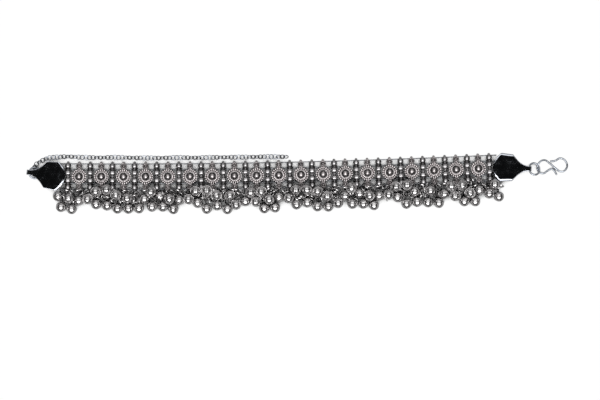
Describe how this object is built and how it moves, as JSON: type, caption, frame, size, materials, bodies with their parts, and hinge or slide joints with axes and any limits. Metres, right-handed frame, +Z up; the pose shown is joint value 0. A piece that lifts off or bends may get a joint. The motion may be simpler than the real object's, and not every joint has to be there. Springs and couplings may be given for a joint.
{
  "type": "payal anklet",
  "caption": "Anklet laid open and flat: a band of beads and flowers on parallel wires, bells hung along one edge, folded end caps, an S-hook clasp and an extension chain.",
  "frame": {"origin": "centre of the base of the whole part's bounding box, on the surface that the anklet lies on", "axes": "+X along the band from the chain end towards the hook end, +Y across it away from the bells, +Z up out of the surface"},
  "size_m": [0.2473, 0.0279, 0.0073],
  "materials": {
    "bead_silver": "oxidised silver plate, rubbed bright on the high spots",
    "flower_silver": "oxidised silver plate, dark in the recesses",
    "mirror_silver": "mirror polished",
    "bright_silver": "bright silver plate, polished wire",
    "bell_silver": "bright silver plate, satin from tumbling, darker in the slots"
  },
  "bodies": {
    "root": {"bead_column_01": "bead_silver", "bead_column_02": "bead_silver", "bead_column_03": "bead_silver", "bead_column_04": "bead_silver", "bead_column_05": "bead_silver", "bead_column_06": "bead_silver", "bead_column_07": "bead_silver", "bead_column_08": "bead_silver", "bead_column_09": "bead_silver", "bead_column_10": "bead_silver", "bead_column_11": "bead_silver", "bead_column_12": "bead_silver", "bead_column_13": "bead_silver", "bead_column_14": "bead_silver", "bead_column_15": "bead_silver", "bead_column_16": "bead_silver", "bead_column_17": "bead_silver", "bead_column_18": "bead_silver", "bead_column_19": "bead_silver", "bead_column_20": "bead_silver", "bell_drops_01": "bell_silver", "bell_drops_02": "bell_silver", "bell_drops_03": "bell_silver", "bell_drops_04": "bell_silver", "bell_drops_05": "bell_silver", "bell_drops_06": "bell_silver", "bell_drops_07": "bell_silver", "bell_drops_08": "bell_silver", "bell_drops_09": "bell_silver", "bell_drops_10": "bell_silver", "chain_ring": "bright_silver", "end_cap_chain_side": "mirror_silver", "end_cap_hook_side": "mirror_silver", "extension_chain": "bright_silver", "flower_01": "flower_silver", "flower_02": "flower_silver", "flower_03": "flower_silver", "flower_04": "flower_silver", "flower_05": "flower_silver", "flower_06": "flower_silver", "flower_07": "flower_silver", "flower_08": "flower_silver", "flower_09": "flower_silver", "flower_10": "flower_silver", "flower_11": "flower_silver", "flower_12": "flower_silver", "flower_13": "flower_silver", "flower_14": "flower_silver", "flower_15": "flower_silver", "flower_16": "flower_silver", "flower_17": "flower_silver", "flower_18": "flower_silver", "flower_19": "flower_silver", "hook_ring": "bright_silver", "s_hook": "bright_silver", "wire_lower_inner": "bright_silver", "wire_lower_outer": "bright_silver", "wire_upper_inner": "bright_silver", "wire_upper_outer": "bright_silver"}
  },
  "joints": []
}
